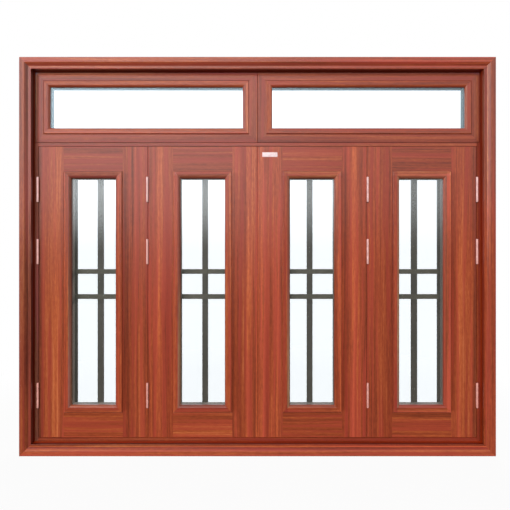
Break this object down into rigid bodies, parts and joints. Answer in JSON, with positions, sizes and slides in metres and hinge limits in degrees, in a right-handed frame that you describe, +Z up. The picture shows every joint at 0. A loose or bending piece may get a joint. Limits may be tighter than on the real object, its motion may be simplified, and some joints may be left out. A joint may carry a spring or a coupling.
{
  "type": "steel window with folding leaves and top lights",
  "caption": "Wood-grain steel window: moulded casing, fixed top lights over tall glazed folding leaves, and a bar grille behind them.",
  "frame": {"origin": "middle of the sill's underside, at the middle of the frame's depth", "axes": "+Z up, +X to the right seen from outside, -Y towards the outside face with the casing"},
  "size_m": [2.4, 0.128, 2.01],
  "materials": {
    "wood_print_steel": "reddish-brown wood-grain print under a glossy clear coat",
    "pane_glass": "clear",
    "bead_steel": "dark grey-brown satin paint",
    "hinge_steel": "satin stainless",
    "grille_steel": "dark grey satin paint",
    "seal_rubber": "black, matt"
  },
  "bodies": {
    "root": {"casing_bottom": "wood_print_steel", "casing_left": "wood_print_steel", "casing_right": "wood_print_steel", "casing_top": "wood_print_steel", "grille": "grille_steel", "head": "wood_print_steel", "hinges_left_fold": "hinge_steel", "hinges_left_jamb": "hinge_steel", "hinges_right_fold": "hinge_steel", "hinges_right_jamb": "hinge_steel", "jamb_left": "wood_print_steel", "jamb_right": "wood_print_steel", "leaf_1_glass": "pane_glass", "leaf_1_moulding": "wood_print_steel", "leaf_1_rails": "wood_print_steel", "leaf_1_rear_bead": "bead_steel", "leaf_1_stiles": "wood_print_steel", "leaf_2_glass": "pane_glass", "leaf_2_moulding": "wood_print_steel", "leaf_2_rails": "wood_print_steel", "leaf_2_rear_bead": "bead_steel", "leaf_2_stiles": "wood_print_steel", "leaf_3_glass": "pane_glass", "leaf_3_moulding": "wood_print_steel", "leaf_3_rails": "wood_print_steel", "leaf_3_rear_bead": "bead_steel", "leaf_3_stiles": "wood_print_steel", "leaf_4_glass": "pane_glass", "leaf_4_moulding": "wood_print_steel", "leaf_4_rails": "wood_print_steel", "leaf_4_rear_bead": "bead_steel", "leaf_4_stiles": "wood_print_steel", "sill": "wood_print_steel", "stop_seals": "seal_rubber", "top_light_1_frame": "wood_print_steel", "top_light_1_glass": "pane_glass", "top_light_1_moulding": "wood_print_steel", "top_light_1_rear_bead": "bead_steel", "top_light_2_frame": "wood_print_steel", "top_light_2_glass": "pane_glass", "top_light_2_moulding": "wood_print_steel", "top_light_2_rear_bead": "bead_steel", "top_mullion": "wood_print_steel", "transom_beam": "wood_print_steel"}
  },
  "joints": []
}
